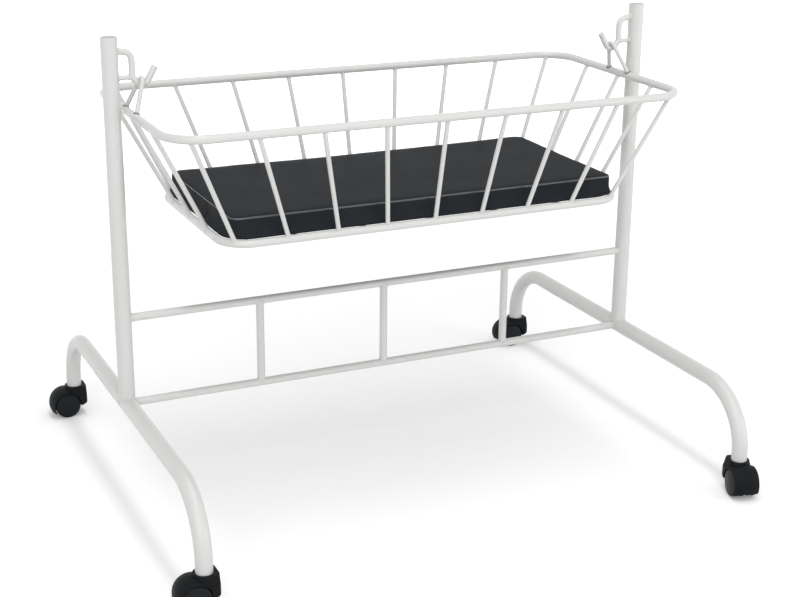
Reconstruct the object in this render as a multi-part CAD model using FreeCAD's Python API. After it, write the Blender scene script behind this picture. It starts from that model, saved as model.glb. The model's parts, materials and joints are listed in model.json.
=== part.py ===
"""Hospital bassinet: a tubular stand on four twin-wheel casters, with a wire basket that swings
from two hooks and holds a flat mattress.

Millimetres. +X runs along the bassinet's length, +Y across it and +Z up. The origin lies on the
floor, midway between the two uprights.
"""
import FreeCAD, Part
import math
import os

V = FreeCAD.Vector
X_AXIS = V(1, 0, 0)
Y_AXIS = V(0, 1, 0)
Z_AXIS = V(0, 0, 1)
LEFT = -1
RIGHT = 1
FRONT = -1
BACK = 1
SIDES = (("left", LEFT), ("right", RIGHT))

# ---- Stand ----------------------------------------------------------------------------------
UPRIGHT_SPACING = 900.0       # from one upright's axis to the other's
UPRIGHT_TOP = 733.0           # height of the uprights' closed tops
FRAME_TUBE_D = 25.4           # uprights and base tubes
FRAME_TUBE_WALL = 1.5
CAP_THICKNESS = 3.0           # disc that closes an upright
BASE_HEIGHT = 162.0           # axis of the base tubes and of the lower rail
LEG_SPREAD = 742.0            # from the front leg's axis to the back leg's
LEG_END = 50.0                # height of the legs' open ends
LEG_STRAIGHT = 17.0           # straight run at a leg's end, which holds the socket
UPPER_RAIL_HEIGHT = 302.0
RAIL_D = 12.7
RAIL_WALL = 1.2
POSTS = (("left", -228.0), ("middle", -12.0), ("right", 214.0))

# ---- Hooks ----------------------------------------------------------------------------------
HOOK_ROD_D = 10.0
HOOK_ARM_DROP = 20.0          # from the upright's top to the arm's axis at the upright
HOOK_ARM_SLOPE = 4.0          # fall of the arm towards its bend
HOOK_DROP_REACH = 32.5        # from the upright's axis to the hook's vertical run
HOOK_SHOULDER_R = 13.0
HOOK_ELBOW_DROP = 60.5        # from the upright's top to where the vertical run turns in
HOOK_ELBOW_R = 8.0
HOOK_VALLEY_REACH = 46.5      # from the upright's axis to the valley
HOOK_VALLEY_DROP = 71.5       # from the upright's top to the rod's axis at the valley
HOOK_VALLEY_R = 10.5
HOOK_TIP_RISE = 25.5          # from the valley to the tip's end
HOOK_TIP_ANGLE = 60.0         # of the tip above level
BRACE_ROD_D = 7.0

# ---- Basket ---------------------------------------------------------------------------------
RIM_LENGTH = 846.0            # between the end bars' axes
RIM_WIDTH = 400.0             # between the long bars' axes
RIM_DROP = 43.0               # from the hooks' valleys to the rim's axis
RIM_D = 12.7
RIM_WALL = 1.2
RIM_CORNER_R = 55.0
RING_LENGTH = 670.0
RING_WIDTH = 324.0
RING_DROP = 169.5             # from the rim's axis to the ring's
RING_D = 12.0
RING_WALL = 1.2
RING_CORNER_R = 45.0
SLAT_D = 7.0
SIDE_SLATS = 9                # in each long side, the first and last in the corner bends
END_SLATS = 3                 # in each end
SIDE_SLAT_INSET = 29.0        # from the end bar's axis to the first slat, at the rim
SIDE_SLAT_INSET_LOW = 17.5    # the same at the bottom ring
CROSS_ROD_D = 7.0
CROSS_RODS = 5
LOOP_ROD_D = 7.0
LOOP_FOOT_SPREAD = 62.0       # between the two feet's axes on the rim
HANG_CLEARANCE = 0.3          # between the loop's apex and the hook's rod

# ---- Mattress -------------------------------------------------------------------------------
MATTRESS_LENGTH = 648.0
MATTRESS_WIDTH = 307.0
MATTRESS_THICKNESS = 34.0
MATTRESS_CORNER_R = 16.0
MATTRESS_EDGE_R = 3.0         # rounding of the top's edge
MATTRESS_UNDER_R = 6.0        # rounding of the underside's edge, which clears the ring's bends
COVER_THICKNESS = 1.0
SOFT_CLEARANCE = 0.3

# ---- Casters --------------------------------------------------------------------------------
WHEEL_D = 44.0
WHEEL_WIDTH = 16.0
WHEEL_EDGE_R = 2.6            # rounding between the tread and the outer face
WHEEL_CROWN = 2.0             # rise of the domed outer face towards its middle
WHEEL_HUB_R = 7.0
WHEEL_WEB = 4.0               # thickness of the wheel's outer face
WHEEL_RIM = 3.5               # thickness of the wheel's rim
WHEEL_SIDE_GAP = 0.7
TRAIL = 16.5                  # from the stem's axis back to the axle
AXLE_D = 6.0
AXLE_CLEARANCE = 0.05
AXLE_GRIP = 12.0              # length of axle inside each wheel
FORK_THICKNESS = 11.0         # of the hood's middle wall, between the wheels
HOOD_WHEEL_GAP = 1.3
HOOD_SIDE_INSET = 1.2         # of the hood's sides from the wheels' outer faces
FENDER_LIP = 1.6              # wall over the wheels at the hood's sides
FENDER_CROWN = 4.0            # how much thicker it is midway across
FENDER_END = 25.0             # where it ends behind the wheels, in degrees below the axle
HOOD_FRONT = 18.5             # from the stem's axis to the hood's flat face
HOOD_CHIN = 25.0              # height of the flat face's lower edge
HOOD_KEEL = 16.5              # height of the middle wall's lower edge under the stem
HOOD_CORNER_R = 6.0
SKIRT_ARCH_R = 8.0            # arch in the fender's lower edge, between the wheels
SKIRT_ARCH_DROP = 3.5         # of the arch's centre below that edge
COLLAR_D = 33.0               # at its top, from where it flares to the hood's full width
COLLAR_SINK = 2.0             # how far the collar reaches into the hood's deck
COLLAR_TOP = 54.5
COLLAR_FLOOR_GAP = 0.3        # between the socket's flange and the cup's floor
TUBE_CUP_GAP = 0.45           # between the leg and the collar's cup
STEM_D = 11.0                 # in the socket
STEM_PIN_D = 8.0              # in the hood
STEM_PIN_LENGTH = 20.0
STEM_CLEARANCE = 0.05
SOCKET_FLANGE = 1.5
SOCKET_BEND_GAP = 1.0         # between the socket's end and the start of the leg's bend

# Caster name, side, front or back, and the direction it trails in, in degrees about +Z
CASTERS = (
    ("front_left", LEFT, FRONT, 180.0),
    ("front_right", RIGHT, FRONT, 255.0),
    ("back_left", LEFT, BACK, 180.0),
    ("back_right", RIGHT, BACK, 180.0),
)


# ---- Shapes that several pieces share --------------------------------------------------------
def rod(start, end, diameter):
    """Round bar with its axis from start to end."""
    along = end - start
    return Part.makeCylinder(diameter / 2, along.Length, start, along)


def bent_path(points, radii):
    """Wire of straight runs through the points, each inner point rounded by its radius."""
    edges = []
    run_start = points[0]
    for before, corner, after, radius in zip(points, points[1:], points[2:], radii):
        back = (before - corner).normalize()
        ahead = (after - corner).normalize()
        half = back.getAngle(ahead) / 2
        middle = (back + ahead).normalize()
        arc_start = corner + back * (radius / math.tan(half))
        arc_end = corner + ahead * (radius / math.tan(half))
        arc_middle = corner + middle * (radius / math.sin(half) - radius)
        edges.append(Part.LineSegment(run_start, arc_start).toShape())
        edges.append(Part.Arc(arc_start, arc_middle, arc_end).toShape())
        run_start = arc_end
    edges.append(Part.LineSegment(run_start, points[-1]).toShape())
    return Part.Wire(edges)


def bent_rod(path, diameter):
    """Round bar along a wire."""
    first = path.OrderedEdges[0]
    start = first.valueAt(first.FirstParameter)
    along = first.tangentAt(first.FirstParameter)
    section = Part.Wire(Part.Circle(start, along, diameter / 2).toShape())
    return path.makePipeShell([section], True, False)


def bent_tube(path, diameter, wall):
    """Hollow round tube along a wire."""
    return only_solid(bent_rod(path, diameter).cut(bent_rod(path, diameter - 2 * wall)))


def straight_tube(start, end, diameter, wall):
    """Hollow round tube from start to end."""
    return rod(start, end, diameter).cut(rod(start, end, diameter - 2 * wall))


def only_solid(shape):
    """The single solid that a cut leaves."""
    return shape.Solids[0]


def largest_solid(shape):
    """The main solid of a cut that also leaves crumbs."""
    return max(shape.Solids, key=lambda solid: solid.Volume)


def mirrored(shape, side):
    """The shape as built on the right, or its mirror image for the left."""
    return shape if side == RIGHT else shape.mirror(V(0, 0, 0), X_AXIS)


def rounded_rectangle(length, width, height, radius):
    """Closed wire of a level rectangle with rounded corners, begun midway along its left end."""
    x = length / 2
    y = width / 2
    corners = [V(-x, -y, height), V(x, -y, height), V(x, y, height), V(-x, y, height)]
    start = V(-x, 0, height)
    return bent_path([start] + corners + [start], [radius] * len(corners))


def revolved(points):
    """Solid of revolution about +Z of a closed outline of (radius, height) points."""
    outline = [V(radius, 0, height) for radius, height in points]
    return Part.Face(Part.makePolygon(outline + outline[:1])).revolve(V(0, 0, 0), Z_AXIS, 360)


# ---- Stand -----------------------------------------------------------------------------------
def upright_axis(side, height):
    """Point on an upright's axis."""
    return V(side * UPRIGHT_SPACING / 2, 0, height)


def upright_envelope(side):
    """Outside of an upright, as a full cylinder down to the base tube's axis."""
    return rod(upright_axis(side, BASE_HEIGHT), upright_axis(side, UPRIGHT_TOP), FRAME_TUBE_D)


def leg_bend_r():
    """Centreline radius of the bends down into the legs."""
    return BASE_HEIGHT - LEG_END - LEG_STRAIGHT


def base_path(side):
    """Centreline of a base tube: up the front leg, across and down the back leg."""
    x = side * UPRIGHT_SPACING / 2
    y = LEG_SPREAD / 2
    points = [V(x, -y, LEG_END), V(x, -y, BASE_HEIGHT), V(x, y, BASE_HEIGHT), V(x, y, LEG_END)]
    return bent_path(points, [leg_bend_r(), leg_bend_r()])


def base_envelope(side):
    """Outside of a base tube's straight middle, as a full cylinder."""
    reach = LEG_SPREAD / 2 - leg_bend_r()
    middle = upright_axis(side, BASE_HEIGHT)
    return rod(middle - Y_AXIS * reach, middle + Y_AXIS * reach, FRAME_TUBE_D)


def upright(side):
    """Upright tube, coped to sit on its base tube."""
    tube = straight_tube(upright_axis(side, BASE_HEIGHT), upright_axis(side, UPRIGHT_TOP),
                         FRAME_TUBE_D, FRAME_TUBE_WALL)
    return largest_solid(tube.cut(base_envelope(side)))


def upright_cap(side):
    """Disc that closes an upright's top, set flush inside the tube."""
    return rod(upright_axis(side, UPRIGHT_TOP - CAP_THICKNESS), upright_axis(side, UPRIGHT_TOP),
               FRAME_TUBE_D - 2 * FRAME_TUBE_WALL)


def base_tube(side):
    """Base tube with a leg at each end."""
    return bent_tube(base_path(side), FRAME_TUBE_D, FRAME_TUBE_WALL)


def rail(height):
    """Level tube between the two uprights' axes, coped at both ends."""
    tube = straight_tube(upright_axis(LEFT, height), upright_axis(RIGHT, height),
                         RAIL_D, RAIL_WALL)
    for side in (LEFT, RIGHT):
        tube = tube.cut(upright_envelope(side)).cut(base_envelope(side))
    return largest_solid(tube)


def rail_envelope(height):
    """Outside of a rail, as a full cylinder."""
    return rod(upright_axis(LEFT, height), upright_axis(RIGHT, height), RAIL_D)


def rail_post(x):
    """Post between the rails, coped at both ends."""
    tube = straight_tube(V(x, 0, BASE_HEIGHT), V(x, 0, UPPER_RAIL_HEIGHT), RAIL_D, RAIL_WALL)
    tube = tube.cut(rail_envelope(BASE_HEIGHT)).cut(rail_envelope(UPPER_RAIL_HEIGHT))
    return largest_solid(tube)


# ---- Hooks -----------------------------------------------------------------------------------
def hook_point(reach, height):
    """Point in the right hook's plane, a reach inwards from the upright's axis."""
    return V(UPRIGHT_SPACING / 2 - reach, 0, height)


def elbow_height():
    """Height at which a hook's vertical run turns in, and at which its brace meets it."""
    return UPRIGHT_TOP - HOOK_ELBOW_DROP


def valley_height():
    """Height of a hook's rod at its valley, which is the swing's axis too."""
    return UPRIGHT_TOP - HOOK_VALLEY_DROP


def hook_path():
    """Centreline of the right hook: arm, drop, valley and tip."""
    arm_height = UPRIGHT_TOP - HOOK_ARM_DROP
    inward = HOOK_VALLEY_REACH - HOOK_DROP_REACH
    tip_angle = math.radians(HOOK_TIP_ANGLE)
    # The flanks meet below the valley's arc. The outer one slopes so that both are tangent to it.
    centre_height = valley_height() + HOOK_VALLEY_R
    elbow_distance = math.hypot(inward, centre_height - elbow_height())
    elbow_bearing = math.atan2(elbow_height() - centre_height, inward)
    flank_angle = math.asin(HOOK_VALLEY_R / elbow_distance) + elbow_bearing
    between = (tip_angle + flank_angle) / 2
    corner_distance = HOOK_VALLEY_R / math.cos(between)
    corner_lean = (tip_angle - flank_angle) / 2
    corner = hook_point(HOOK_VALLEY_REACH + corner_distance * math.sin(corner_lean),
                        centre_height - corner_distance * math.cos(corner_lean))
    tip_length = (valley_height() + HOOK_TIP_RISE - corner.z) / math.sin(tip_angle)
    tip = corner + V(-math.cos(tip_angle), 0, math.sin(tip_angle)) * tip_length
    points = [hook_point(0, arm_height),
              hook_point(HOOK_DROP_REACH, arm_height - HOOK_ARM_SLOPE),
              hook_point(HOOK_DROP_REACH, elbow_height()), corner, tip]
    return bent_path(points, [HOOK_SHOULDER_R, HOOK_ELBOW_R, HOOK_VALLEY_R])


def hook(side):
    """Hook of bent rod, coped against its upright."""
    bar = bent_rod(hook_path(), HOOK_ROD_D).cut(upright_envelope(RIGHT))
    return mirrored(largest_solid(bar), side)


def hook_brace(side):
    """Short rod from the upright to the foot of the hook's vertical run."""
    height = elbow_height()
    bar = rod(hook_point(0, height), hook_point(HOOK_DROP_REACH, height), BRACE_ROD_D)
    bar = bar.cut(upright_envelope(RIGHT)).cut(bent_rod(hook_path(), HOOK_ROD_D))
    return mirrored(largest_solid(bar), side)


# ---- Basket ----------------------------------------------------------------------------------
def rim_height():
    """Height of the rim's axis."""
    return valley_height() - RIM_DROP


def ring_height():
    """Height of the bottom ring's axis."""
    return rim_height() - RING_DROP


def rim_path():
    """Centreline of the rim."""
    return rounded_rectangle(RIM_LENGTH, RIM_WIDTH, rim_height(), RIM_CORNER_R)


def ring_path():
    """Centreline of the bottom ring."""
    return rounded_rectangle(RING_LENGTH, RING_WIDTH, ring_height(), RING_CORNER_R)


def bar_point(length, width, height, corner_r, along, side):
    """Point on a rounded rectangle's long bar, or on its corner bend, at a place along X."""
    past_straight = max(0.0, abs(along) - (length / 2 - corner_r))
    inset = corner_r - math.sqrt(corner_r ** 2 - past_straight ** 2)
    return V(along, side * (width / 2 - inset), height)


def slat_between(low, high, ring, rim):
    """Slat from the bottom ring to the rim, coped against both."""
    return largest_solid(rod(low, high, SLAT_D).cut(ring).cut(rim))


def side_slats(side, ring, rim):
    """Slats of one long side, the first and last in the corner bends."""
    slats = []
    high_reach = RIM_LENGTH / 2 - SIDE_SLAT_INSET
    low_reach = RING_LENGTH / 2 - SIDE_SLAT_INSET_LOW
    for index in range(SIDE_SLATS):
        share = 2 * index / (SIDE_SLATS - 1) - 1
        low = bar_point(RING_LENGTH, RING_WIDTH, ring_height(), RING_CORNER_R,
                        share * low_reach, side)
        high = bar_point(RIM_LENGTH, RIM_WIDTH, rim_height(), RIM_CORNER_R,
                         share * high_reach, side)
        slats.append(slat_between(low, high, ring, rim))
    return Part.makeCompound(slats)


def end_slats(side, ring, rim):
    """Slats of one end, spaced evenly across it."""
    slats = []
    for index in range(END_SLATS):
        share = (index + 1) / (END_SLATS + 1) - 0.5
        low = V(side * RING_LENGTH / 2, share * RING_WIDTH, ring_height())
        high = V(side * RIM_LENGTH / 2, share * RIM_WIDTH, rim_height())
        slats.append(slat_between(low, high, ring, rim))
    return Part.makeCompound(slats)


def cross_rods(ring):
    """Level rods across the bottom ring, which carry the mattress."""
    rods = []
    for index in range(CROSS_RODS):
        x = RING_LENGTH * ((index + 1) / (CROSS_RODS + 1) - 0.5)
        start = V(x, -RING_WIDTH / 2, ring_height())
        end = V(x, RING_WIDTH / 2, ring_height())
        rods.append(largest_solid(rod(start, end, CROSS_ROD_D).cut(ring)))
    return Part.makeCompound(rods)


def loop(side, rim):
    """Hanging loop: a rod bent into an arch that stands on the rim's end bar and leans inwards,
    so that its apex crosses over the hook's valley."""
    rod_to_rod = HOOK_ROD_D / 2 + HANG_CLEARANCE + LOOP_ROD_D / 2
    foot = V(RIM_LENGTH / 2, 0, rim_height())
    rise = hook_point(HOOK_VALLEY_REACH, valley_height() + rod_to_rod) - foot
    up = V(rise).normalize()
    apex_r = rod_to_rod / up.z
    spread = LOOP_FOOT_SPREAD / 2
    # The legs are tangent to the apex's arc.
    to_centre = rise.Length - apex_r
    slope = math.atan2(spread, to_centre) - math.asin(apex_r / math.hypot(spread, to_centre))
    peak = foot + up * (to_centre + apex_r / math.sin(slope))
    points = [foot - Y_AXIS * spread, peak, foot + Y_AXIS * spread]
    bar = bent_rod(bent_path(points, [apex_r]), LOOP_ROD_D).cut(rim)
    return mirrored(largest_solid(bar), side)


# ---- Mattress --------------------------------------------------------------------------------
def mattress_bottom():
    """Height of the mattress's underside, just clear of the cross rods."""
    return ring_height() + CROSS_ROD_D / 2 + SOFT_CLEARANCE


def pad(inset):
    """Rounded slab of the mattress's outline, drawn in by an inset on every side."""
    length = MATTRESS_LENGTH - 2 * inset
    width = MATTRESS_WIDTH - 2 * inset
    outline = rounded_rectangle(length, width, mattress_bottom() + inset,
                                MATTRESS_CORNER_R - inset)
    slab = Part.Face(outline).extrude(Z_AXIS * (MATTRESS_THICKNESS - 2 * inset))
    level = [edge for edge in slab.Edges if abs(edge.tangentAt(edge.FirstParameter).z) < 0.5]
    middle = slab.BoundBox.Center.z
    over = [edge for edge in level if edge.BoundBox.Center.z > middle]
    slab = slab.makeFillet(MATTRESS_EDGE_R - inset, over)
    level = [edge for edge in slab.Edges if edge.BoundBox.ZMax < mattress_bottom() + inset + 0.1]
    return slab.makeFillet(MATTRESS_UNDER_R - inset, level)


def mattress_core():
    """Foam slab inside the cover."""
    return only_solid(pad(COVER_THICKNESS))


def mattress_cover():
    """Vinyl cover, closed all round the foam."""
    return only_solid(pad(0).cut(pad(COVER_THICKNESS)))


# ---- Casters ---------------------------------------------------------------------------------
# A caster is drawn with its stem on the Z axis and its wheels trailing towards +X.
def axle_centre():
    """Middle of the axle."""
    return V(TRAIL, 0, WHEEL_D / 2)


def cup_floor():
    """Height of the floor of the hood's cup, under the socket's flange."""
    return LEG_END - SOCKET_FLANGE - COLLAR_FLOOR_GAP


def socket_top():
    """Height of the socket's upper end, in the straight part of the leg."""
    return LEG_END + LEG_STRAIGHT - SOCKET_BEND_GAP


def socket():
    """Plastic socket in the leg's end, with a thin flange under the tube."""
    inner_r = FRAME_TUBE_D / 2 - FRAME_TUBE_WALL
    low = LEG_END - SOCKET_FLANGE
    return revolved([(STEM_D / 2, low), (FRAME_TUBE_D / 2, low), (FRAME_TUBE_D / 2, LEG_END),
                     (inner_r, LEG_END), (inner_r, socket_top()), (STEM_D / 2, socket_top())])


def stem():
    """Steel stem: held in the socket above, and the pin that the hood turns on below."""
    shoulder = LEG_END - SOCKET_FLANGE
    low = cup_floor() - STEM_PIN_LENGTH
    high = socket_top() - 1
    return revolved([(0, low), (STEM_PIN_D / 2, low), (STEM_PIN_D / 2, shoulder),
                     (STEM_D / 2, shoulder), (STEM_D / 2, high - 1), (STEM_D / 2 - 1, high),
                     (0, high)])


def axle():
    """Steel axle, fixed in the hood's middle wall and ending inside the wheels."""
    reach = FORK_THICKNESS / 2 + WHEEL_SIDE_GAP + AXLE_GRIP
    return rod(axle_centre() - Y_AXIS * reach, axle_centre() + Y_AXIS * reach, AXLE_D)


def hood_half_width():
    """From the middle of the caster to the hood's sides."""
    return FORK_THICKNESS / 2 + WHEEL_SIDE_GAP + WHEEL_WIDTH - HOOD_SIDE_INSET


def pocket_r():
    """Radius of the hollows that the wheels turn in."""
    return WHEEL_D / 2 + HOOD_WHEEL_GAP


def deck_height():
    """Height of the hood's top in front of the fender, where the two meet over the stem."""
    return WHEEL_D / 2 + math.sqrt((pocket_r() + FENDER_LIP) ** 2 - TRAIL ** 2)


def fender():
    """Barrel round the axle, thickest midway across."""
    half = hood_half_width()
    lip = pocket_r() + FENDER_LIP
    low_left = axle_centre() - Y_AXIS * half
    low_right = axle_centre() + Y_AXIS * half
    left = low_left + Z_AXIS * lip
    crown = axle_centre() + Z_AXIS * (lip + FENDER_CROWN)
    right = low_right + Z_AXIS * lip
    outline = Part.Wire([Part.LineSegment(low_left, left).toShape(),
                         Part.Arc(left, crown, right).toShape(),
                         Part.LineSegment(right, low_right).toShape(),
                         Part.LineSegment(low_right, low_left).toShape()])
    return Part.Face(outline).revolve(axle_centre(), Y_AXIS, 360)


def front_block(low, high, low_half, high_half, back):
    """Block behind the hood's flat face, with rounded corners at that face."""
    outline = [V(-HOOD_FRONT, -low_half, low), V(-HOOD_FRONT, low_half, low),
               V(-HOOD_FRONT, high_half, high), V(-HOOD_FRONT, -high_half, high)]
    face = Part.Face(Part.makePolygon(outline + outline[:1]))
    block = face.extrude(X_AXIS * (HOOD_FRONT + back))
    corners = [edge for edge in block.Edges
               if edge.BoundBox.ZLength > 1 and edge.BoundBox.XMax < -HOOD_FRONT + 0.1]
    return block.makeFillet(HOOD_CORNER_R, corners)


def collar():
    """Collar round the leg's end, flush with the flat face in front."""
    low = deck_height() - COLLAR_SINK
    base = hood_half_width()
    top = COLLAR_D / 2
    barrel = revolved([(0, low), (base, low), (top, COLLAR_TOP), (0, COLLAR_TOP)])
    barrel = barrel.fuse(front_block(low, COLLAR_TOP, base, top, 0))
    behind_face = Part.makeBox(HOOD_FRONT + COLLAR_D, 2 * COLLAR_D, COLLAR_TOP,
                               V(-HOOD_FRONT, -COLLAR_D, 0))
    return barrel.common(behind_face)


def fender_end():
    """Lower edge of the fender, midway across behind the wheels."""
    reach = pocket_r() + FENDER_LIP + FENDER_CROWN
    down = math.radians(FENDER_END)
    return axle_centre() + V(reach * math.cos(down), 0, -reach * math.sin(down))


def under_hood():
    """Everything below the hood's lower edge, and the arch in the fender."""
    tail = fender_end()
    reach = tail.x + HOOD_CORNER_R
    half = hood_half_width() + HOOD_CORNER_R
    corners = [V(-reach, -half, HOOD_CHIN), V(-HOOD_FRONT, -half, HOOD_CHIN),
               V(0, -half, HOOD_KEEL), V(tail.x, -half, tail.z), V(reach, -half, tail.z),
               V(reach, -half, 0), V(-reach, -half, 0)]
    wedge = Part.Face(Part.makePolygon(corners + corners[:1])).extrude(Y_AXIS * (2 * half))
    arch_z = tail.z - SKIRT_ARCH_DROP
    arch = rod(V(WHEEL_D / 2, 0, arch_z), V(reach, 0, arch_z), 2 * SKIRT_ARCH_R)
    return wedge.fuse(arch)


def hood():
    """Hood: fender over both wheels, a middle wall between them and a cup for the leg's end."""
    half = hood_half_width()
    body = fender().fuse(front_block(HOOD_KEEL, deck_height(), half, half, TRAIL))
    body = body.fuse(collar()).cut(under_hood())
    for side in (FRONT, BACK):
        inner = axle_centre() + Y_AXIS * (side * FORK_THICKNESS / 2)
        body = body.cut(Part.makeCylinder(pocket_r(), WHEEL_WIDTH, inner, Y_AXIS * side))
    body = body.cut(rod(V(0, 0, cup_floor()), V(0, 0, COLLAR_TOP + 1),
                        FRAME_TUBE_D + 2 * TUBE_CUP_GAP))
    pin_end = cup_floor() - STEM_PIN_LENGTH - 1
    body = body.cut(rod(V(0, 0, pin_end), V(0, 0, COLLAR_TOP), STEM_PIN_D + 2 * STEM_CLEARANCE))
    return only_solid(body.cut(axle()))


def wheel_face():
    """Edges from the wheel's tread over its rounded shoulder and domed face to its axis."""
    r = WHEEL_D / 2
    level = WHEEL_WIDTH - WHEEL_CROWN
    centre = V(r - WHEEL_EDGE_R, 0, level - WHEEL_EDGE_R)
    on_shoulder = centre + V(1, 0, 1).normalize() * WHEEL_EDGE_R
    edge = centre + Z_AXIS * WHEEL_EDGE_R
    dome_r = (edge.x ** 2 + WHEEL_CROWN ** 2) / (2 * WHEEL_CROWN)
    half = edge.x / 2
    on_dome = V(half, 0, WHEEL_WIDTH - dome_r + math.sqrt(dome_r ** 2 - half ** 2))
    return [Part.Arc(centre + X_AXIS * WHEEL_EDGE_R, on_shoulder, edge).toShape(),
            Part.Arc(edge, on_dome, V(0, 0, WHEEL_WIDTH)).toShape()]


def wheel(side):
    """Wheel with a domed outer face, open on its inner side round a hub."""
    r = WHEEL_D / 2
    bore = AXLE_D / 2 + AXLE_CLEARANCE
    blind = AXLE_GRIP + 0.5
    inner_r = r - WHEEL_RIM
    inside = [(0, WHEEL_WIDTH), (0, blind), (bore, blind), (bore, 0), (WHEEL_HUB_R, 0),
              (WHEEL_HUB_R, WHEEL_WIDTH - WHEEL_WEB), (inner_r, WHEEL_WIDTH - WHEEL_WEB),
              (inner_r, 0), (r, 0), (r, WHEEL_WIDTH - WHEEL_CROWN - WHEEL_EDGE_R)]
    corners = [V(radius, 0, height) for radius, height in inside]
    runs = [Part.LineSegment(start, end).toShape() for start, end in zip(corners, corners[1:])]
    body = Part.Face(Part.Wire(runs + wheel_face())).revolve(V(0, 0, 0), Z_AXIS, 360)
    body.rotate(V(0, 0, 0), X_AXIS, -90 * side)
    start = axle_centre() + Y_AXIS * (side * (FORK_THICKNESS / 2 + WHEEL_SIDE_GAP))
    body.translate(start)
    return body


def placed(shape, caster):
    """A caster's piece, turned to the direction it trails in and moved under its leg."""
    _, side, end, trail_direction = caster
    moved = shape.copy()
    moved.rotate(V(0, 0, 0), Z_AXIS, trail_direction)
    moved.translate(V(side * UPRIGHT_SPACING / 2, end * LEG_SPREAD / 2, 0))
    return moved


# ---- Nodes -----------------------------------------------------------------------------------
def stand_nodes():
    """Welded stand."""
    nodes = {"upper_rail": rail(UPPER_RAIL_HEIGHT), "lower_rail": rail(BASE_HEIGHT)}
    for name, x in POSTS:
        nodes["rail_post_" + name] = rail_post(x)
    for name, side in SIDES:
        nodes["upright_" + name] = upright(side)
        nodes["upright_cap_" + name] = upright_cap(side)
        nodes["base_tube_" + name] = base_tube(side)
        nodes["hook_" + name] = hook(side)
        nodes["hook_brace_" + name] = hook_brace(side)
    return nodes


def basket_nodes():
    """Basket, from its bottom ring to the loops that hang it."""
    ring = bent_rod(ring_path(), RING_D)
    rim = bent_rod(rim_path(), RIM_D)
    nodes = {
        "basket_rim": bent_tube(rim_path(), RIM_D, RIM_WALL),
        "basket_bottom_ring": bent_tube(ring_path(), RING_D, RING_WALL),
        "front_slats": side_slats(FRONT, ring, rim),
        "back_slats": side_slats(BACK, ring, rim),
        "basket_cross_rods": cross_rods(ring),
    }
    for name, side in SIDES:
        nodes[name + "_end_slats"] = end_slats(side, ring, rim)
        nodes["hanging_loop_" + name] = loop(side, rim)
    return nodes


def caster_nodes():
    """Four casters with their sockets and stems."""
    pieces = {"caster_socket": socket(), "caster_stem": stem(), "caster_hood": hood(),
              "caster_axle": axle(), "caster_wheel_1": wheel(FRONT), "caster_wheel_2": wheel(BACK)}
    nodes = {}
    for caster in CASTERS:
        for name, shape in pieces.items():
            nodes[name + "_" + caster[0]] = placed(shape, caster)
    return nodes


def main():
    """Write every node to parts/ as a STEP file."""
    os.makedirs("parts", exist_ok=True)
    nodes = stand_nodes()
    nodes.update(basket_nodes())
    nodes.update(caster_nodes())
    nodes["mattress_cover"] = mattress_cover()
    nodes["mattress_core"] = mattress_core()
    for name, shape in nodes.items():
        shape.exportStep("parts/" + name + ".step")


main()
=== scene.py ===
"""Dresses the hospital bassinet: enamelled tubes, weld beads, a vinyl mattress, nylon casters.

Metres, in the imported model's frame: +X along the bassinet, +Y to its back and +Z up.
"""
import json
import logging
import math
import random
from dataclasses import dataclass
from enum import Enum
from typing import Callable, ClassVar, Iterable, Sequence

import bmesh
import bpy
from mathutils import Matrix, Vector, noise
from mathutils.bvhtree import BVHTree
from mathutils.geometry import intersect_point_line


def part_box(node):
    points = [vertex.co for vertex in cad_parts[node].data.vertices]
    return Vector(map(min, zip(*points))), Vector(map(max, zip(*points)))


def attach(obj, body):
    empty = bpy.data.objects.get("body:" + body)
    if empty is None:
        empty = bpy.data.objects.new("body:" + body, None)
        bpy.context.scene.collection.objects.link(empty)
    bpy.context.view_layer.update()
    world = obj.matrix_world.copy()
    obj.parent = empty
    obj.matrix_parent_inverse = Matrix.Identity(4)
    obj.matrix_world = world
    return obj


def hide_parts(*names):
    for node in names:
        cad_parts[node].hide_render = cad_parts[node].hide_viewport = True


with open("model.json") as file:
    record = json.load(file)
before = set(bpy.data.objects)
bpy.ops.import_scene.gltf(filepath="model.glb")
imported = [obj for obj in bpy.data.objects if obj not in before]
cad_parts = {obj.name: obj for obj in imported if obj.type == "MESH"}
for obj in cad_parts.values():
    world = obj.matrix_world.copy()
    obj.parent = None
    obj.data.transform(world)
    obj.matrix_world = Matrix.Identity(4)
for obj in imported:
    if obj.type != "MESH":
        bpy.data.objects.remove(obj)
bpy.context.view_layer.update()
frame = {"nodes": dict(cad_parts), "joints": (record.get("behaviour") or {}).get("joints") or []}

LOG = logging.getLogger("bassinet")
Y_AXIS = Vector((0, 1, 0))
Z_AXIS = Vector((0, 0, 1))
WHITE = (1.0, 1.0, 1.0, 1.0)

Rgb = tuple[float, float, float]
Node = bpy.types.Node
Piece = bpy.types.Object
Socket = bpy.types.NodeSocket
Sockets = dict[str, Socket]


class Side(Enum):
    """The two ends of the bassinet."""

    LEFT = -1
    RIGHT = 1

    @property
    def label(self) -> str:
        """The word that node names use."""
        return self.name.lower()


class Face(Enum):
    """The basket's front and back."""

    FRONT = -1
    BACK = 1


class Body(Enum):
    """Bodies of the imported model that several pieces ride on."""

    STAND = "stand"
    BASKET = "basket"
    MATTRESS = "mattress"


def clamped(value: float, low: float = 0.0, high: float = 1.0) -> float:
    """Hold a value between two limits."""
    return min(max(value, low), high)


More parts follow.
